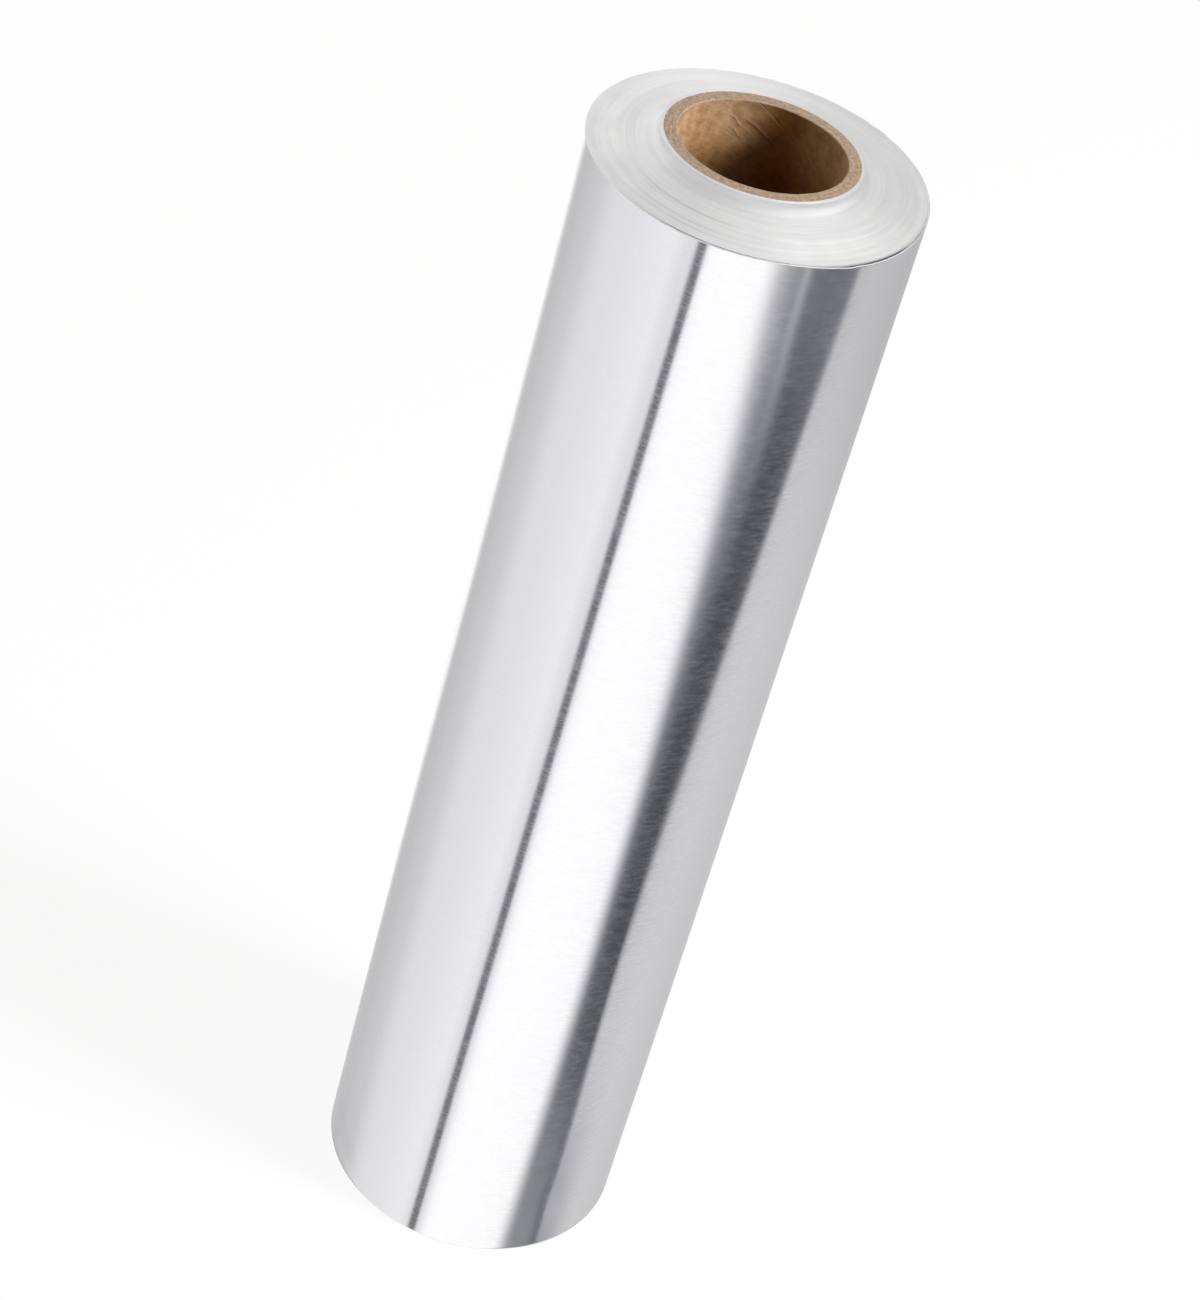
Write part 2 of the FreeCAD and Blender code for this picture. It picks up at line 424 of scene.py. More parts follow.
DENTS = (
    # start and end as angle from the front and height, then half width and depth
    (34.0, 34.0, 38.5, 18.0, 2.2, 0.022),
    (38.5, 22.0, 43.0, 9.0, 2.4, 0.018),
    (47.0, 38.0, 43.0, 14.0, 2.2, 0.028),
    (-74.0, 12.0, -50.0, 5.0, 2.4, 0.02),
)


def dented(sizes, angle, height):
    """How far the wall is pushed in by the faint dents near the lower end."""
    depth = np.zeros(np.broadcast(angle, height).shape)
    front = np.degrees((angle + 0.5 * math.pi + math.pi) % FULL_TURN - math.pi)
    across = np.radians(front) * sizes.roll_radius / MM
    up = height / MM
    for from_angle, from_up, to_angle, to_up, width, deep in DENTS:
        start = (math.radians(from_angle) * sizes.roll_radius / MM, from_up)
        end = (math.radians(to_angle) * sizes.roll_radius / MM, to_up)
        depth += deep * MM * bell(off_line(across, up, start, end) / width)
    return depth


def wall_heights(sizes):
    """Heights of the wall's rows from the upper rim down to the lower one."""
    low = sizes.foot_radius
    high = sizes.foil_width - 1.8 * MM
    rows = [high + 0.4 * MM] + between(high, 60 * MM, 56)
    rows += between(rows[-1], 1.6 * MM, 46)
    rows += between(rows[-1], low, 3)[:-1]
    return rows


def winding_points(sizes):
    """Points of the whole winding as rings, and the material number of each ring."""
    columns = 312
    turn = np.linspace(0.0, FULL_TURN, columns + 1)
    angle = TAIL_ANGLE - turn
    radius = sizes.roll_radius
    half_lap = 0.5 * sizes.tail_lap
    small = radius - half_lap
    inner_half = -half_lap * np.sin(angle) + np.sqrt(
        small**2 - (half_lap * np.cos(angle)) ** 2
    )
    wall_radius = np.where(turn <= math.pi, radius, inner_half)
    lap = wall_radius - radius
    tail = np.clip(1.0 - turn * radius / sizes.tail_length, 0.0, 1.0) ** 2
    rings = []
    bands = []

    def add_ring(base, height, lap_share, band, tail_share=0.0, pushed=0.0):
        """A ring of the winding, with its share of the step at the loose outer end."""
        ring_radius = base + lap * lap_share + tail * tail_share + pushed
        rings.append((ring_radius, height, angle))
        bands.append(band)

    inner = sizes.tube_radius
    slip = sizes.top - sizes.foil_width
    levels = [0.25 * sizes.top] + between(sizes.top - MOUTH_DEPTH, sizes.top - 0.03 * MM, 14)
    for height in levels:
        off_round = out_of_round(angle, sizes.top - height)
        add_ring(inner, height, 0.0, EDGES, pushed=off_round)
    add_ring(inner + 0.03 * MM, sizes.top, 0.0, EDGES, pushed=out_of_round(angle, 0.0))

    def end_rings(pitch, seed, upper):
        """The slipped turns of one end, from the collar out to the rim."""
        made = []
        for base, fall in end_profile(sizes, pitch):
            lines = ripples(seed, angle, base, 3, 0.45 * MM, 30)
            swell = ripples(seed + 1, angle, base, 4, 2.4 * MM, 16)
            steady = eased(base, sizes.tube_radius + 1.2 * MM, sizes.tube_radius + 3 * MM)
            height = fall + (0.0025 * MM * lines + 0.012 * MM * swell) * steady
            if upper:
                height = height + sizes.foil_width + upper_stand(sizes, angle, base)
            made.append((base, height))
        return made

    edge_start = radius - sizes.rim_width - 0.3 * MM
    edge_end = radius - sizes.rim_width + 0.1 * MM
    for base, height in end_rings(0.155 * MM, UPPER_END_SEED, True):
        near_tube = 1.0 - float(eased(base, inner + MM, inner + 6 * MM))
        off_round = out_of_round(angle, 0.0) * near_tube
        lap_share = float(eased(base, edge_start, edge_end))
        add_ring(base, height, lap_share, EDGES, pushed=off_round)
    for base, height in rim_stations(sizes, angle):
        lip_side = base > radius - 0.1 * MM
        add_ring(base, height, 1.0, WALL if lip_side else EDGES)
    for height in wall_heights(sizes):
        wave = ripples(WALL_SEED, angle, height, 3, 42 * MM, 20)
        lift = (0.75 + 0.5 * ripples(TAIL_SEED, 0.0, height, 0, 37 * MM, 9)) * sizes.tail_lift
        uneven = 0.012 * MM * wave - dented(sizes, angle, height)
        to_end = min(height, sizes.foil_width - height)
        fade = float(eased(to_end, 0.0, 4 * MM))
        add_ring(radius + uneven * fade, height, 1.0, WALL, lift * fade)
    for bend in between(0.5 * math.pi, 0.0, 5):
        base = radius - sizes.foot_radius * (1.0 - math.sin(bend))
        height = sizes.foot_radius * (1.0 - math.cos(bend))
        add_ring(base, height, 1.0, WALL if bend > 0.3 else EDGES)
    for base, height in reversed(end_rings(0.32 * MM, LOWER_END_SEED, False)):
        add_ring(base, height, float(eased(base, edge_start, edge_end)), EDGES)
    add_ring(inner + 0.08 * MM, slip - 0.02 * MM, 0.0, EDGES)

    points = ring_points(rings)
    # a ring without the step ends exactly where it starts
    for row, (ring_radius, _, _) in enumerate(rings):
        if abs(ring_radius[0] - ring_radius[-1]) < 1e-9:
            points[row, -1] = points[row, 0]
    points[:, :, 2] = np.maximum(points[:, :, 2], 0.0)
    return points, bands


class FOILROLL_OT_wind_foil(bpy.types.Operator):
    """Winds the foil into one piece with its collar, slipped ends and loose outer end"""

    bl_idname = "foil_roll.wind_foil"
    bl_label = "Wind the foil"

    def execute(self, context):
        sizes = context.scene.foil_winding_sizes
        finish = context.scene.foil_finish
        points, bands = winding_points(sizes)
        mesh = ring_mesh("wound_foil", points, bands)
        finish_mesh(mesh, 40.0)
        materials = [wall_foil(finish), turn_edges(finish, sizes)]
        show_piece("wound_foil", mesh, materials, "foil_winding")
        return {"FINISHED"}


# Card tube


# material numbers of the tube
BORE = 0
CUT = 1
OUTSIDE = 2

SEAM_ANGLE_AT_TOP = 101.9

CREASES = (
    # angle and depth below the cut end at both ends, then half width and height
    (106.5, 4.7, 98.7, 6.0, 0.32, 0.05),
    (98.7, 6.0, 90.0, 7.8, 0.34, 0.075),
    (90.0, 7.8, 82.5, 9.1, 0.32, 0.06),
    (82.5, 9.1, 73.0, 10.5, 0.30, 0.03),
    (119.5, 3.9, 115.0, 4.6, 0.26, 0.035),
    (115.0, 4.6, 110.5, 6.4, 0.28, 0.05),
    (114.0, 7.2, 110.0, 8.7, 0.28, 0.05),
    (110.0, 8.7, 106.5, 9.3, 0.26, 0.035),
)


def creased(sizes, angle, depth):
    """How far the bore's wall stands in along its creases."""
    stands = np.zeros(np.broadcast(angle, depth).shape)
    round_mm = sizes.bore_radius / MM
    around = (np.degrees(angle) % 360.0) * math.pi / 180.0 * round_mm
    down = depth / MM
    for a0, d0, a1, d1, width, high in CREASES:
        start = (math.radians(a0) * round_mm, d0)
        end = (math.radians(a1) * round_mm, d1)
        stands += high * MM * bell(off_line(around, down, start, end) / width)
    return stands


def tube_points(sizes, height):
    """Points of the tube as rings, and the material number of each ring."""
    outer = sizes.outer_radius
    seam_start = math.radians(SEAM_ANGLE_AT_TOP)
    near = np.radians(np.arange(-4.0, 4.01, 0.5))
    far = np.radians(np.linspace(5.0, 355.0, 224))
    start = seam_start + np.concatenate([near, far])
    off_seam = np.concatenate([near, far])
    off_seam = (off_seam + math.pi) % FULL_TURN - math.pi
    turn_rate = FULL_TURN * sizes.strip_turns / height
    broken = sizes.edge_break
    rings = []
    bands = []

    def add_ring(radius, level, angle, band):
        """A ring of the tube, out of round near the mouth."""
        off_round = out_of_round(angle, height - level)
        rings.append((radius + off_round, level, angle))
        bands.append(band)

    def bore_ring(level):
        """A ring of the bore's wall, with the seam, its raised lip and the creases."""
        angle = start + turn_rate * (level - height)
        distance = off_seam * sizes.bore_radius
        groove = sizes.seam_depth * np.exp(
            -((distance / (0.5 * sizes.seam_width)) ** 4)
        )
        lip = 0.015 * MM * np.exp(-(((distance - 1.1 * MM) / (0.7 * MM)) ** 2))
        uneven = 0.02 * MM * ripples(BORE_SEED, angle, level, 9, 5 * MM, 30)
        stands = creased(sizes, angle, height - level)
        add_ring(sizes.bore_radius + groove - lip + uneven - stands, level, angle, BORE)

    def cut_rings(level, side):
        """The cut end from the bore outward, with side 1 for the upper end."""
        made = []
        inner_edge = sizes.bore_radius
        for bend in between(0.0, 0.5 * math.pi, 5):
            reach = broken * (1.0 - math.cos(bend))
            rise = broken * (math.sin(bend) - 1.0)
            made.append((inner_edge + reach, rise))
        wide = outer - inner_edge - broken - sizes.outer_break
        for part in between(0.0, 1.0, 20)[:-1]:
            ply = math.cos(FULL_TURN * part * sizes.plies)
            made.append((inner_edge + broken + wide * part, -0.01 * MM * (1.0 + ply)))
        made.append((outer - sizes.outer_break, 0.0))
        made.append((outer, -sizes.outer_break))
        angle = start + turn_rate * (level - height)
        for radius, rise in made:
            rough = ripples(CUT_SEED, angle, radius, 24, 0.8 * MM, 30)
            fuzz = -0.02 * MM * (1.0 + np.clip(rough, -1.0, 1.0))
            add_ring(radius, level + side * (rise + fuzz), angle, CUT)

    levels = between(broken, height - 14 * MM, 276)
    levels += between(levels[-1], height - broken, 38)
    bore_ring(broken)
    for level in levels:
        bore_ring(level)
    cut_rings(height, 1.0)
    for level in between(height - broken, broken, 8)[:-1]:
        add_ring(outer, level, start, OUTSIDE)
    first_of_lower = len(rings)
    cut_rings(0.0, -1.0)
    rings[first_of_lower:] = reversed(rings[first_of_lower:])
    bands[first_of_lower - 1] = OUTSIDE

    return ring_points(rings), bands


class FOILROLL_OT_roll_tube(bpy.types.Operator):
    """Rolls the card tube from its strip, with the seam, creases and cut ends"""

    bl_idname = "foil_roll.roll_tube"
    bl_label = "Roll the card tube"

    def execute(self, context):
        sizes = context.scene.tube_sizes
        finish = context.scene.card_finish
        height = TUBE_BOX[1].z
        points, bands = tube_points(sizes, height)
        mesh = ring_mesh("card_tube", points, bands)
        finish_mesh(mesh, 28.0)
        seam_rate = FULL_TURN * sizes.strip_turns / height
        materials = [
            bore_card(finish, sizes, height),
            cut_card(finish),
            outside_card(finish, seam_rate),
        ]
        show_piece("card_tube", mesh, materials, "cardboard_core")
        return {"FINISHED"}


# Shader wiring


VECTOR = "NodeSocketVector"
NUMBER = "NodeSocketFloat"
WHITE = (1.0, 1.0, 1.0)


def plug(tree, value, socket):
    """Joins another node's output to the socket, or sets a plain value on it."""
    if isinstance(value, bpy.types.NodeSocket):
        tree.links.new(value, socket)
    else:
        socket.default_value = value


def calc(tree, operation, *values, clamp=False):
    """A Math node's output."""
    node = tree.nodes.new("ShaderNodeMath")
    node.operation = operation
    node.use_clamp = clamp
    for place, value in enumerate(values):
        plug(tree, value, node.inputs[place])
    return node.outputs[0]


def times(tree, first, *others):
    """The product of some numbers."""
    for other in others:
        first = calc(tree, "MULTIPLY", first, other)
    return first


def plus(tree, first, *others):
    """The sum of some numbers."""
    for other in others:
        first = calc(tree, "ADD", first, other)
    return first


def minus(tree, first, second):
    """The first number less the second."""
    return calc(tree, "SUBTRACT", first, second)


def vector_calc(tree, operation, *values):
    """A Vector Math node's vector or number."""
    node = tree.nodes.new("ShaderNodeVectorMath")
    node.operation = operation
    for place, value in enumerate(values):
        plug(tree, value, node.inputs[place])
    return node.outputs["Value" if operation in ("LENGTH", "DOT_PRODUCT") else "Vector"]


def scaled(tree, vector, factor):
    """A vector times a number."""
    node = tree.nodes.new("ShaderNodeVectorMath")
    node.operation = "SCALE"
    plug(tree, vector, node.inputs[0])
    plug(tree, factor, node.inputs["Scale"])
    return node.outputs["Vector"]


def ranged(tree, value, low, high, to_low=0.0, to_high=1.0, kind="SMOOTHSTEP"):
    """Carries a value from one range to another and stops at its ends."""
    node = tree.nodes.new("ShaderNodeMapRange")
    node.interpolation_type = kind
    node.clamp = True
    for name, number in zip(
        ("Value", "From Min", "From Max", "To Min", "To Max"),
        (value, low, high, to_low, to_high),
    ):
        plug(tree, number, node.inputs[name])
    return node.outputs["Result"]


def combined(tree, x, y, z):
    """A vector from three numbers."""
    node = tree.nodes.new("ShaderNodeCombineXYZ")
    for place, value in enumerate((x, y, z)):
        plug(tree, value, node.inputs[place])
    return node.outputs[0]


def parted(tree, vector):
    """The three numbers of a vector."""
    node = tree.nodes.new("ShaderNodeSeparateXYZ")
    plug(tree, vector, node.inputs[0])
    return node.outputs[0], node.outputs[1], node.outputs[2]


def from_axis(tree, position):
    """How far a place is from the roll's axis, and its height."""
    x, y, z = parted(tree, position)
    return vector_calc(tree, "LENGTH", combined(tree, x, y, 0.0)), z


def noise(tree, vector, detail, roughness):
    """Plain noise from 0 to 1, with features about one unit wide."""
    node = tree.nodes.new("ShaderNodeTexNoise")
    plug(tree, vector, node.inputs["Vector"])
    node.inputs["Scale"].default_value = 1.0
    node.inputs["Detail"].default_value = detail
    node.inputs["Roughness"].default_value = roughness
    return node.outputs["Fac"]


def tinted(tree, factor, first, second):
    """First colour where factor is 0 and second where it is 1."""
    node = tree.nodes.new("ShaderNodeMix")
    node.data_type = "RGBA"
    plug(tree, factor, node.inputs["Factor"])
    for socket, value in ((node.inputs[6], first), (node.inputs[7], second)):
        if isinstance(value, bpy.types.NodeSocket):
            tree.links.new(value, socket)
        else:
            socket.default_value = (*value, 1.0)
    return node.outputs[2]


def mixed(tree, factor, first, second):
    """First number where factor is 0 and second where it is 1."""
    node = tree.nodes.new("ShaderNodeMix")
    node.data_type = "FLOAT"
    plug(tree, factor, node.inputs["Factor"])
    plug(tree, first, node.inputs[2])
    plug(tree, second, node.inputs[3])
    return node.outputs[0]


def bumped(tree, height, distance):
    """A normal from a height, with the distance in metres."""
    node = tree.nodes.new("ShaderNodeBump")
    node.inputs["Strength"].default_value = 1.0
    node.inputs["Distance"].default_value = distance
    tree.links.new(height, node.inputs["Height"])
    return node.outputs["Normal"]


def new_group(name, inputs, outputs):
    """An empty shader node group with its sockets."""
    group = bpy.data.node_groups.new(name, "ShaderNodeTree")
    for label, kind in inputs:
        group.interface.new_socket(name=label, in_out="INPUT", socket_type=kind)
    for label, kind in outputs:
        group.interface.new_socket(name=label, in_out="OUTPUT", socket_type=kind)
    entry = group.nodes.new("NodeGroupInput")
    leave = group.nodes.new("NodeGroupOutput")
    return group, entry.outputs, leave.inputs


def made_once(make):
    """Has a node group made at its first use, under the name of its function."""

    def handed_out():
        name = make.__name__
        if name not in bpy.data.node_groups:
            make(name)
        return bpy.data.node_groups[name]

    return handed_out


def placed(tree, group, **values):
    """A node group put into a material, with its inputs by name."""
    node = tree.nodes.new("ShaderNodeGroup")
    node.node_tree = group
    for label, value in values.items():
        plug(tree, value, node.inputs[label.replace("_", " ").capitalize()])
    return node.outputs


@made_once
def turn_lines(name):
    """Fine lines that run round the roll, where turns differ a little."""
    inputs = (("Position", VECTOR), ("Across", NUMBER), ("Lines", NUMBER), ("Breaks", NUMBER))
    group, given, out = new_group(name, inputs, (("Mask", NUMBER), ("Height", NUMBER)))
    x, y, _ = parted(group, given["Position"])
    place = combined(
        group,
        times(group, x, given["Breaks"]),
        times(group, y, given["Breaks"]),
        times(group, given["Across"], given["Lines"]),
    )
    height = noise(group, place, detail=3.0, roughness=0.6)
    group.links.new(height, out["Height"])
    group.links.new(ranged(group, height, 0.3, 0.7), out["Mask"])


@made_once
def mottle(name):
    """Soft uneven patches."""
    inputs = (("Position", VECTOR), ("Patches", NUMBER), ("Shift", NUMBER))
    group, given, out = new_group(name, inputs, (("Mask", NUMBER),))
    shift = combined(group, given["Shift"], given["Shift"], given["Shift"])
    place = vector_calc(group, "ADD", scaled(group, given["Position"], given["Patches"]), shift)
    patches = noise(group, place, detail=3.0, roughness=0.55)
    group.links.new(ranged(group, patches, 0.32, 0.68), out["Mask"])


@made_once
def card_fibres(name):
    """Fibres that lie along the tube's strip, with specks between them."""
    inputs = (("Position", VECTOR), ("Twist", NUMBER), ("Fibres", NUMBER), ("Stretch", NUMBER))
    outputs = (("Fibres", NUMBER), ("Specks", NUMBER), ("Height", NUMBER))
    group, given, out = new_group(name, inputs, outputs)
    _, _, z = parted(group, given["Position"])
    turned = group.nodes.new("ShaderNodeVectorRotate")
    turned.rotation_type = "Z_AXIS"
    group.links.new(given["Position"], turned.inputs["Vector"])
    back = times(group, z, given["Twist"], -1.0)
    group.links.new(back, turned.inputs["Angle"])
    x, y, level = parted(group, turned.outputs["Vector"])
    along = calc(group, "DIVIDE", given["Fibres"], given["Stretch"])
    place = combined(
        group,
        times(group, x, given["Fibres"]),
        times(group, y, given["Fibres"]),
        times(group, level, along),
    )
    fibres = noise(group, place, detail=4.0, roughness=0.62)
    speck_place = scaled(group, given["Position"], times(group, given["Fibres"], 0.8))
    specks = noise(group, speck_place, detail=1.0, roughness=0.4)
    group.links.new(ranged(group, fibres, 0.32, 0.68), out["Fibres"])
    group.links.new(ranged(group, specks, 0.66, 0.76), out["Specks"])
    group.links.new(fibres, out["Height"])


@made_once
def crease_mark(name):
    """How near a place on the bore's wall is to one crease."""
    inputs = (("Place", VECTOR), ("Start", VECTOR), ("Run", VECTOR), ("Width", NUMBER))
    group, given, out = new_group(name, inputs, (("Mask", NUMBER),))
    reach = vector_calc(group, "SUBTRACT", given["Place"], given["Start"])
    length_squared = vector_calc(group, "DOT_PRODUCT", given["Run"], given["Run"])
    share_along = calc(
        group,
        "DIVIDE",
        vector_calc(group, "DOT_PRODUCT", reach, given["Run"]),
        length_squared,
        clamp=True,
    )
    foot = scaled(group, given["Run"], share_along)
    off = vector_calc(group, "LENGTH", vector_calc(group, "SUBTRACT", reach, foot))
    near = calc(group, "DIVIDE", off, given["Width"])
    group.links.new(ranged(group, near, 0.0, 1.0, 1.0, 0.0), out["Mask"])


def dress_shader(tree, shader, colours, gloss, height, depth):
    """Joins colour, gloss and a relief of some depth to a material's shader."""
    tree.links.new(colours, shader.inputs["Base Color"])
    tree.links.new(gloss, shader.inputs["Roughness"])
    tree.links.new(bumped(tree, height, depth), shader.inputs["Normal"])


def new_material(name):
    """An empty node material with its shader and the position on the object."""
    material = bpy.data.materials.new(name)
    material.use_nodes = True
    tree = material.node_tree
    shader = tree.nodes["Principled BSDF"]
    position = tree.nodes.new("ShaderNodeTexCoord").outputs["Object"]
    return material, tree, shader, position


def brushed_metal(tree, shader, amount):
    """Metal whose gloss is drawn out across the lines that run round the roll."""
    shader.inputs["Metallic"].default_value = 1.0
    tangent = tree.nodes.new("ShaderNodeTangent")
    tangent.direction_type = "RADIAL"
    tangent.axis = "Z"
    tree.links.new(tangent.outputs["Tangent"], shader.inputs["Tangent"])
    shader.inputs["Anisotropic"].default_value = amount
    shader.inputs["Anisotropic Rotation"].default_value = 0.25


def wall_foil(finish):
    """Bright foil of the outermost turn."""
    material, tree, shader, position = new_material("wall_foil")
    _, _, z = parted(tree, position)
    lines = turn_lines()
    fine = placed(tree, lines, position=position, across=z, lines=1700.0, breaks=360.0)
    broad = placed(tree, lines, position=position, across=z, lines=420.0, breaks=240.0)
    patches = placed(tree, mottle(), position=position, patches=70.0, shift=3.0)
    clear = mixed(tree, 0.3, fine["Mask"], broad["Mask"])
    colours = tinted(tree, clear, finish.wall_dull, finish.wall_clear)
    gloss = ranged(tree, clear, 0.1, 0.8, 0.135, 0.112)
    gloss = mixed(tree, patches["Mask"], gloss, times(tree, gloss, 0.92))
    brushed_metal(tree, shader, 0.45)
    grain = calc(tree, "POWER", minus(tree, 1.0, clear), 1.5)
    grain = times(tree, grain, 0.85)
    tree.links.new(grain, shader.inputs["Coat Weight"])
    shader.inputs["Coat Roughness"].default_value = 0.5
    shader.inputs["Coat IOR"].default_value = 2.4
    height = mixed(tree, 0.4, fine["Height"], broad["Height"])
    dress_shader(tree, shader, colours, gloss, height, 0.0004 * MM)
    return material


def rim_gap_painted_shade(tree, sizes, position, radius, z):
    """Where painted shade goes: 1 deep between the loose turns at the front of the upper rim and 0
    elsewhere.
    """
    way = (math.cos(LOOSE_RIM_ANGLE), math.sin(LOOSE_RIM_ANGLE), 0.0)
    toward = vector_calc(tree, "DOT_PRODUCT", position, way)
    front = ranged(tree, calc(tree, "DIVIDE", toward, radius), 0.55, 0.77)
    outward = minus(tree, radius, sizes.roll_radius)
    inside = ranged(tree, outward, -0.66 * MM, -0.56 * MM)
    short_of_lip = ranged(tree, outward, -0.3 * MM, -0.25 * MM, 1.0, 0.0)
    rise = minus(tree, z, sizes.foil_width)
    deep = ranged(tree, rise, -0.6 * MM, 0.1 * MM, 1.0, 0.0)
    upper = ranged(tree, rise, -60 * MM, -30 * MM)
    return times(tree, inside, short_of_lip, deep, upper, front)


def turn_edges(finish, sizes):
    """Stacked edges of the turns at both ends of the roll, with painted shade in the gap behind the
    loose turns at the front.
    """
    material, tree, shader, position = new_material("turn_edges")
    radius, z = from_axis(tree, position)
    lines = turn_lines()
    fine = placed(tree, lines, position=position, across=radius, lines=2400.0, breaks=60.0)
    broad = placed(tree, lines, position=position, across=radius, lines=700.0, breaks=26.0)
    patches = placed(tree, mottle(), position=position, patches=120.0, shift=7.0)
    clear = mixed(tree, 0.45, fine["Mask"], broad["Mask"])
    clear = mixed(tree, 0.25, clear, patches["Mask"])
    colours = tinted(tree, clear, finish.edge_dull, finish.edge_clear)
    # painted shade in the gap behind the loose turns at the front of the rim
    shade = rim_gap_painted_shade(tree, sizes, position, radius, z)
    colours = tinted(tree, shade, colours, finish.rim_gap_painted_shade)
    gloss = ranged(tree, clear, 0.0, 1.0, 0.54, 0.44)
    brushed_metal(tree, shader, 0.75)
    height = mixed(tree, 0.5, fine["Height"], broad["Height"])
    dress_shader(tree, shader, colours, gloss, height, 0.022 * MM)
    return material


def card_shader(shader):
    """Settings that all the card shares."""
    shader.inputs["Specular IOR Level"].default_value = 0.28
    shader.inputs["IOR"].default_value = 1.48


def bore_card(finish, sizes, height):
    """Inner strip of the tube, with its fibres, seam and creases, and painted shade deeper down, on
    its unlit back and along the creases.
    """
    material, tree, shader, position = new_material("bore_card")
    seam_rate = FULL_TURN * sizes.strip_turns / height
    fibres = placed(
        tree,
        card_fibres(),
        position=position,
        twist=seam_rate,
        fibres=1100.0,
        stretch=2.2,
    )
    cloudy = placed(tree, mottle(), position=position, patches=420.0, shift=2.0)
    broad = placed(tree, mottle(), position=position, patches=130.0, shift=5.0)
    pale = mixed(tree, 0.6, fibres["Fibres"], cloudy["Mask"])
    pale = mixed(tree, 0.3, pale, broad["Mask"])
    colours = tinted(tree, pale, finish.bore_dark, finish.bore_light)
    speck = times(tree, fibres["Specks"], 0.16)
    colours = tinted(tree, speck, colours, finish.speck)
    x, y, z = parted(tree, position)
    around = calc(tree, "ARCTAN2", y, x)
    down = calc(tree, "DIVIDE", minus(tree, height, z), MM)
    # painted shade: the strip darkens from 3 to 17 mm below the cut end
    depth_shade = tinted(tree, ranged(tree, down, 3.0, 17.0), WHITE, finish.bore_stain)
    # painted shade: the back wall near 80 degrees round, on the side away from the key lamp
    off_unlit_side = calc(tree, "ABSOLUTE", minus(tree, around, math.radians(80.0)))
    unlit_side_shade = ranged(tree, off_unlit_side, math.radians(4.0), math.radians(30.0), 1.0, 0.0)
    unlit_side_shade = tinted(tree, unlit_side_shade, WHITE, finish.bore_damp)
    shaded_colours = vector_calc(tree, "MULTIPLY", colours, depth_shade)
    shaded_colours = vector_calc(tree, "MULTIPLY", shaded_colours, unlit_side_shade)
    seam_at = math.radians(SEAM_ANGLE_AT_TOP) - seam_rate * height
    phase = minus(tree, around, times(tree, z, seam_rate))
    phase = minus(tree, phase, seam_at)
    off = calc(tree, "ABSOLUTE", calc(tree, "SINE", times(tree, phase, 0.5)))
    seam = ranged(tree, off, 0.001, 0.008, 0.25, 0.0)
    seam_and_crease_shade = times(tree, seam, ranged(tree, down, 2.0, 6.0, 1.0, 0.35))
    relief = mixed(tree, 0.35, fibres["Height"], cloudy["Mask"])
    relief = times(tree, relief, 0.06)

    round_mm = sizes.bore_radius / MM
    place = combined(tree, times(tree, around, round_mm), down, 0.0)
    for a0, d0, a1, d1, width, high in CREASES:
        start = (math.radians(a0) * round_mm, d0, 0.0)
        run = (math.radians(a1 - a0) * round_mm, d1 - d0, 0.0)
        crease = placed(tree, crease_mark(), place=place, start=start, run=run, width=width)
        ridge = times(tree, crease["Mask"], high * 0.9)
        relief = plus(tree, relief, ridge)
        # painted shade: the card is darkened along each crease
        crease_shade = times(tree, crease["Mask"], high * 4.0)
        seam_and_crease_shade = calc(tree, "MAXIMUM", seam_and_crease_shade, crease_shade)
    # the seam's dark joint, and painted shade along the creases, in the specks' colour
    colours = tinted(tree, seam_and_crease_shade, shaded_colours, finish.speck)
    card_shader(shader)
    dress_shader(tree, shader, colours, ranged(tree, pale, 0.0, 1.0, 0.72, 0.88), relief, MM)
    return material


def cut_card(finish):
    """Cut ends of the tube, where the plies show."""
    material, tree, shader, position = new_material("cut_card")
    radius, _ = from_axis(tree, position)
    lines = turn_lines()
    plies = placed(tree, lines, position=position, across=radius, lines=1500.0, breaks=260.0)
    fibres = placed(
        tree,
        card_fibres(),
        position=position,
        twist=0.0,
        fibres=1050.0,
        stretch=1.0,
    )
    pale = mixed(tree, 0.7, plies["Mask"], fibres["Fibres"])
    colours = tinted(tree, pale, finish.cut_dark, finish.cut_light)
    speck = times(tree, fibres["Specks"], 0.45)
    colours = tinted(tree, speck, colours, finish.speck)
    card_shader(shader)
    relief = mixed(tree, 0.5, plies["Height"], fibres["Height"])
    gloss = ranged(tree, pale, 0.0, 1.0, 0.8, 0.94)
    dress_shader(tree, shader, colours, gloss, relief, 0.15 * MM)
    return material


def outside_card(finish, seam_rate):
    """Outer strip of the tube, which the foil hides but for its top edge."""
    material, tree, shader, position = new_material("outside_card")
    fibres = placed(
        tree,
        card_fibres(),
        position=position,
        twist=seam_rate,
        fibres=1500.0,
        stretch=7.0,
    )
    cloudy = placed(tree, mottle(), position=position, patches=160.0, shift=9.0)
    pale = mixed(tree, 0.4, fibres["Fibres"], cloudy["Mask"])
    colours = tinted(tree, pale, finish.bore_dark, finish.bore_light)
    card_shader(shader)
    gloss = ranged(tree, pale, 0.0, 1.0, 0.75, 0.9)
    dress_shader(tree, shader, colours, gloss, fibres["Height"], 0.1 * MM)
    return material


# Studio


# elevation that the wall shows at its top, where the broad band bends and at its foot
TOP_SEEN = -31.2
BEND_SEEN = -43.0
FOOT_SEEN = -48.1

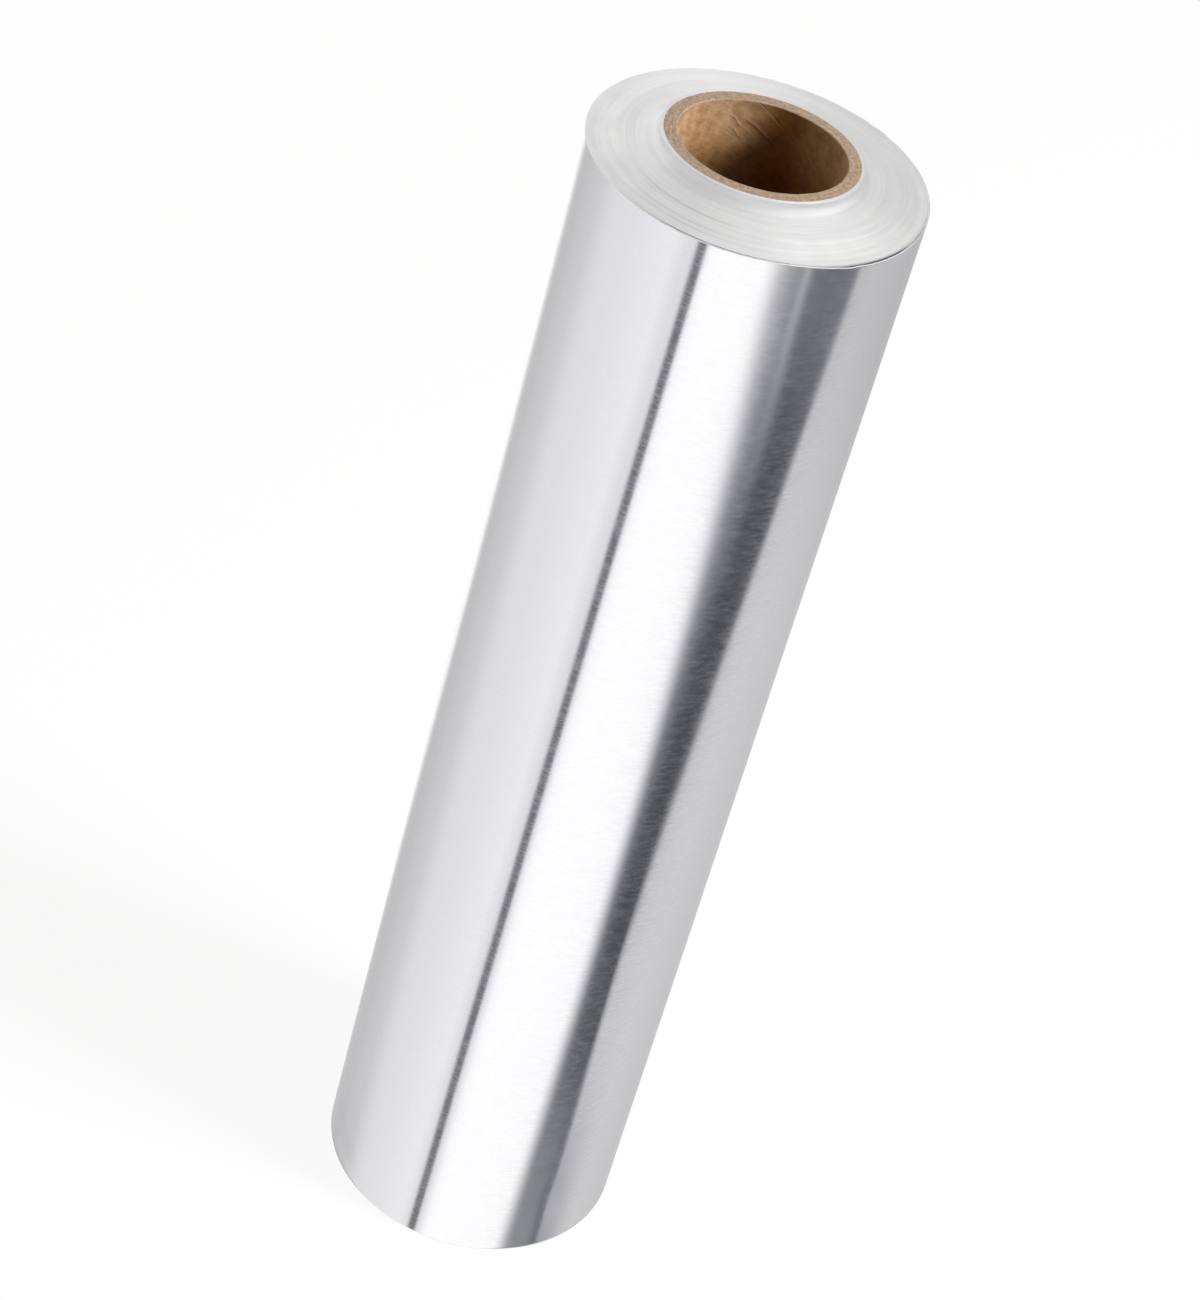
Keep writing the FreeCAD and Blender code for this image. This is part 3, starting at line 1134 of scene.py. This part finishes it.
SIDE_LIGHT = (
    # level of the light that the wall shows, by azimuth from the front
    (-180.0, 0.76),
    (-170.0, 0.60),
    (-144.0, 0.55),
    (-130.0, 0.567),
    (-118.0, 0.625),
    (-107.0, 0.65),
    (-94.0, 0.76),
    (-88.0, 0.795),
    (-70.0, 0.815),
    (-55.0, 0.87),
    (-38.0, 0.91),
    (-29.0, 0.79),
    (-20.0, 0.85),
    (-15.0, 1.07),
    (-8.0, 1.095),
    (54.0, 1.08),
    (66.0, 0.66),
    (104.0, 0.665),
    (130.0, 0.62),
    (150.0, 0.58),
    (168.0, 0.61),
    (180.0, 0.76),
)


def studio_directions(tree):
    """Azimuth from the front and elevation of a ray, in degrees, and its direction."""
    direction = tree.nodes.new("ShaderNodeTexCoord").outputs["Generated"]
    x, y, z = parted(tree, direction)
    minus_y = times(tree, y, -1.0)
    azimuth = calc(tree, "DEGREES", calc(tree, "ARCTAN2", x, minus_y))
    elevation = calc(tree, "DEGREES", calc(tree, "ARCSINE", z))
    return azimuth, elevation, direction


def side_level(tree, azimuth):
    """The even light of the studio's sides."""
    ramp = tree.nodes.new("ShaderNodeValToRGB")
    stops = ramp.color_ramp.elements
    while len(stops) > 1:
        stops.remove(stops[-1])
    stops[0].position = 0.0
    stops[0].color = (SIDE_LIGHT[0][1],) * 3 + (1.0,)
    for degrees, level in SIDE_LIGHT[1:]:
        stop = stops.new((degrees + 180.0) / 360.0)
        stop.color = (level,) * 3 + (1.0,)
    place = ranged(tree, azimuth, -180.0, 180.0, kind="LINEAR")
    tree.links.new(place, ramp.inputs["Fac"])
    return ramp.outputs["Color"]


def facing(tree, direction, way):
    """How nearly a direction points one way, up to 1."""
    return vector_calc(tree, "DOT_PRODUCT", direction, way)


def thin_line(tree, azimuth, low):
    """1 on the narrow dark board that the wall shows as its thin line."""
    centre = calc(tree, "MULTIPLY_ADD", low, 0.396, -7.3)
    off = minus(tree, azimuth, centre)
    return times(tree, ranged(tree, off, -4.5, -2.0), ranged(tree, off, 2.6, 3.4, 1.0, 0.0))


def broad_band(tree, azimuth, low, level):
    """The level with the broad dark board in it, which bends out below BEND_SEEN."""
    fall = calc(tree, "MAXIMUM", minus(tree, TOP_SEEN, low), 0.0)
    left = calc(tree, "MULTIPLY_ADD", fall, -0.11, 3.1)
    left = calc(tree, "MULTIPLY_ADD", left, fall, 28.3)
    off_bend = minus(tree, low, BEND_SEEN)
    below_bend = calc(tree, "MINIMUM", times(tree, off_bend, -2.9), 7.5)
    right = plus(tree, calc(tree, "MAXIMUM", times(tree, off_bend, 1.5), below_bend), 72.0)
    into = minus(tree, azimuth, left)
    left_of = minus(tree, right, azimuth)
    board = times(tree, ranged(tree, into, -7.5, 6.5), ranged(tree, left_of, -0.6, 0.9))

    off_streak = calc(tree, "ABSOLUTE", minus(tree, into, 22.0))
    streak = times(
        tree,
        ranged(tree, off_streak, 0.0, 4.5, 0.24, 0.0),
        ranged(tree, low, -35.2, -31.8),
    )
    right_glow = ranged(tree, left_of, 14.0, 60.0, 0.065, 0.38)
    edge_glow = ranged(tree, into, 0.0, 15.0, 0.1, 0.0)
    foot_haze = ranged(tree, low, -47.5, -43.2, 0.3, 0.0)
    top_haze = ranged(tree, low, -35.5, TOP_SEEN, 0.0, 0.18)
    haze = calc(tree, "MAXIMUM", foot_haze, top_haze)
    board_level = calc(tree, "MAXIMUM", plus(tree, right_glow, edge_glow, streak), haze)
    return mixed(tree, board, level, board_level)


def wall_shades(tree, azimuth, low):
    """How much darker the wall's foot is at both sides, and its top at the right."""
    foot_right = times(
        tree,
        ranged(tree, low, -47.0, -45.2, 0.5, 0.0),
        ranged(tree, azimuth, 80.0, 118.0, 1.0, 0.0),
        ranged(tree, azimuth, 68.0, 78.0),
    )
    off_left = calc(tree, "ABSOLUTE", plus(tree, azimuth, 124.0))
    foot_left = times(
        tree,
        ranged(tree, low, FOOT_SEEN, -46.4, 0.28, 0.0),
        ranged(tree, off_left, 14.0, 44.0, 1.0, 0.0),
    )
    top_right = times(
        tree,
        ranged(tree, low, -37.5, -30.5, 0.0, 0.15),
        ranged(tree, azimuth, 84.0, 96.0),
    )
    return plus(tree, foot_right, foot_left, top_right)


def ceiling_level(tree, direction):
    """Light from above, brighter from the right and dimmer from the left and the back."""
    key_side = facing(tree, direction, (0.565, 0.1, 0.82))
    dim_side = facing(tree, direction, (-0.5, -0.35, 0.79))
    right_back = facing(tree, direction, (0.45, 0.78, 0.43))
    ceiling = ranged(tree, key_side, 0.6, 0.99, 0.81, 1.2)
    ceiling = minus(tree, ceiling, ranged(tree, dim_side, 0.6, 0.97, 0.0, 0.24))
    return minus(tree, ceiling, ranged(tree, right_back, 0.8, 0.99, 0.0, 0.14))


def far_panel(tree, azimuth, elevation, level):
    """The level with a bright panel in it, far round at the left."""
    edge = calc(tree, "MAXIMUM", minus(tree, -37.0, elevation), 0.0)
    edge = calc(tree, "MULTIPLY_ADD", edge, -2.2, -149.5)
    beyond = minus(tree, edge, azimuth)
    beyond_up = plus(tree, beyond, ranged(tree, elevation, -20.0, 5.0, 0.0, 26.0))
    lower = ranged(tree, beyond, -5.0, 6.0)
    upper = ranged(tree, beyond_up, -9.0, 9.0)
    panel = calc(tree, "MAXIMUM", lower, upper)
    panel = times(tree, panel, ranged(tree, elevation, 8.0, 42.0, 1.0, 0.0))
    panel_level = ranged(tree, elevation, -47.0, -35.0, 0.72, 1.08)
    panel_level = minus(tree, panel_level, ranged(tree, elevation, -24.0, 4.0, 0.0, 0.12))
    return mixed(tree, panel, level, panel_level)


def studio_boards(tree):
    """Colour of the boards that the metal shows."""
    azimuth, elevation, direction = studio_directions(tree)
    low = calc(tree, "MINIMUM", calc(tree, "MAXIMUM", elevation, -52.0), -27.0)
    level = side_level(tree, azimuth)
    level = mixed(tree, thin_line(tree, azimuth, low), level, 0.13)
    level = broad_band(tree, azimuth, low, level)
    level = times(tree, level, minus(tree, 1.0, wall_shades(tree, azimuth, low)))
    ceiling = ceiling_level(tree, direction)
    level = mixed(tree, ranged(tree, elevation, -16.0, 18.0), level, ceiling)
    level = mixed(tree, ranged(tree, elevation, -66.0, -55.0, 1.0, 0.0), level, 1.02)
    level = far_panel(tree, azimuth, elevation, level)
    dark = ranged(tree, level, 0.1, 0.6, 1.0, 0.0)
    tint = tinted(tree, dark, (0.995, 0.985, 1.015), (0.93, 0.97, 1.08))
    tint = tinted(tree, ranged(tree, elevation, -5.0, 10.0), tint, (1.0, 1.0, 0.995))
    return vector_calc(tree, "MULTIPLY", tint, combined(tree, level, level, level))


def even_light(tree, light):
    """Colour of the soft light on the card and the floor."""
    _, _, direction = studio_directions(tree)
    toward = facing(tree, direction, (0.74, -0.1, 0.66))
    soft = ranged(tree, toward, 0.1, 1.0, light.ambient, light.ambient + light.fill)
    from_left = facing(tree, direction, (-0.84, 0.22, 0.5))
    soft = plus(tree, soft, ranged(tree, from_left, 0.6, 1.0, 0.0, light.left_fill))
    return vector_calc(tree, "MULTIPLY", combined(tree, soft, soft, soft), (1.04, 0.98, 0.86))


def light_world(light):
    """White for the camera, even light for card and floor, and studio boards for metal."""
    world = bpy.data.worlds.new("studio")
    bpy.context.scene.world = world
    world.use_nodes = True
    world.cycles.sampling_method = "NONE"
    tree = world.node_tree
    tree.nodes.clear()
    path = tree.nodes.new("ShaderNodeLightPath")
    seen = calc(
        tree,
        "MAXIMUM",
        path.outputs["Is Camera Ray"],
        path.outputs["Is Transmission Ray"],
    )
    even = even_light(tree, light)
    colours = tinted(tree, path.outputs["Is Glossy Ray"], even, studio_boards(tree))
    colours = tinted(tree, seen, colours, WHITE)
    background = tree.nodes.new("ShaderNodeBackground")
    tree.links.new(colours, background.inputs["Color"])
    output = tree.nodes.new("ShaderNodeOutputWorld")
    tree.links.new(background.outputs["Background"], output.inputs["Surface"])


def lay_floor(light):
    """A plain pale floor that takes the roll's shadow and that the metal looks past."""
    mesh = bpy.data.meshes.new("floor")
    work = bmesh.new()
    bmesh.ops.create_circle(work, cap_ends=True, segments=96, radius=6.0)
    work.to_mesh(mesh)
    work.free()
    material = bpy.data.materials.new("floor")
    material.use_nodes = True
    tree = material.node_tree
    shader = tree.nodes["Principled BSDF"]
    shader.inputs["Base Color"].default_value = (*light.floor, 1.0)
    shader.inputs["Roughness"].default_value = 0.9
    shader.inputs["Specular IOR Level"].default_value = 0.0
    white = tree.nodes.new("ShaderNodeEmission")
    white.inputs["Strength"].default_value = 1.0
    seen = tree.nodes.new("ShaderNodeLightPath").outputs["Is Camera Ray"]
    shown = tree.nodes.new("ShaderNodeMixShader")
    tree.links.new(times(tree, seen, 1.0 - light.shadow), shown.inputs["Fac"])
    tree.links.new(shader.outputs["BSDF"], shown.inputs[1])
    tree.links.new(white.outputs["Emission"], shown.inputs[2])
    output = tree.nodes["Material Output"]
    tree.links.new(shown.outputs["Shader"], output.inputs["Surface"])
    mesh.materials.append(material)
    floor = bpy.data.objects.new("floor", mesh)
    bpy.context.scene.collection.objects.link(floor)
    floor.visible_glossy = False


def aimed(location, forward, up):
    """A matrix at a place, looking along forward."""
    forward = np.array(forward) / np.linalg.norm(forward)
    right = np.cross(forward, up)
    right /= np.linalg.norm(right)
    upward = np.cross(right, forward)
    rows = np.column_stack([right, upward, -forward])
    return Matrix([[*rows[i], location[i]] for i in range(3)] + [[0, 0, 0, 1]])


# the pinhole camera that fits the outlines in the photo
CAMERA_PLACE = (0.0, -0.62566, 0.65517)
CAMERA_FORWARD = (-0.004254, 0.788184, -0.615425)
CAMERA_UP = (-0.282900, 0.589341, 0.756733)
CAMERA_LENS = 95.58

KEY_PLACE = (1.436, -0.305, 1.203)
KEY_TARGET = (0.0, 0.0, 0.25)


class FOILROLL_OT_set_studio(bpy.types.Operator):
    """Sets the floor, the lamp, the light from all round and the camera"""

    bl_idname = "foil_roll.set_studio"
    bl_label = "Set up the studio"

    def execute(self, context):
        scene = context.scene
        light = scene.studio_light
        light_world(light)
        lay_floor(light)

        lamp = bpy.data.lights.new("key_lamp", "AREA")
        lamp.shape = "DISK"
        lamp.size = 0.6
        lamp.energy = light.key_power
        key = bpy.data.objects.new("key_lamp", lamp)
        scene.collection.objects.link(key)
        aim = np.subtract(KEY_TARGET, KEY_PLACE)
        key.matrix_world = aimed(KEY_PLACE, aim, (0.0, 0.0, 1.0))
        key.visible_glossy = False
        key.visible_camera = False

        lens = bpy.data.cameras.new("camera")
        lens.sensor_width = 36.0
        lens.lens = CAMERA_LENS
        lens.clip_end = 50.0
        camera = bpy.data.objects.new("camera", lens)
        scene.collection.objects.link(camera)
        camera.matrix_world = aimed(CAMERA_PLACE, CAMERA_FORWARD, CAMERA_UP)
        scene.camera = camera
        scene.view_settings.view_transform = "Standard"
        return {"FINISHED"}


class FOILROLL_PT_panel(bpy.types.Panel):
    """Lists the steps that build the foil roll"""

    bl_idname = "FOILROLL_PT_panel"
    bl_label = "Foil roll"
    bl_space_type = "VIEW_3D"
    bl_region_type = "UI"
    bl_category = "Foil roll"

    def draw(self, context):
        for step in STEPS:
            self.layout.operator(step.bl_idname)
        for holder in SETTINGS:
            box = self.layout.box()
            settings = getattr(context.scene, holder)
            for name in settings.bl_rna.properties.keys():
                if name not in ("rna_type", "name"):
                    box.prop(settings, name)


STEPS = (FOILROLL_OT_wind_foil, FOILROLL_OT_roll_tube, FOILROLL_OT_set_studio)
SETTINGS = {
    "foil_winding_sizes": FoilWindingSizes,
    "foil_finish": FoilFinish,
    "tube_sizes": TubeSizes,
    "card_finish": CardFinish,
    "studio_light": StudioLight,
}


def register():
    """Makes the settings, the steps and the panel known to Blender."""
    for holder, group in SETTINGS.items():
        bpy.utils.register_class(group)
        setattr(bpy.types.Scene, holder, bpy.props.PointerProperty(type=group))
    for step in STEPS:
        bpy.utils.register_class(step)
    bpy.utils.register_class(FOILROLL_PT_panel)


def unregister():
    """Takes them away again."""
    bpy.utils.unregister_class(FOILROLL_PT_panel)
    for step in reversed(STEPS):
        bpy.utils.unregister_class(step)
    for holder, group in SETTINGS.items():
        delattr(bpy.types.Scene, holder)
        bpy.utils.unregister_class(group)


def main():
    """Builds the roll and its studio."""
    register()
    bpy.ops.foil_roll.wind_foil()
    bpy.ops.foil_roll.roll_tube()
    bpy.ops.foil_roll.set_studio()


if __name__ == "__main__":
    main()
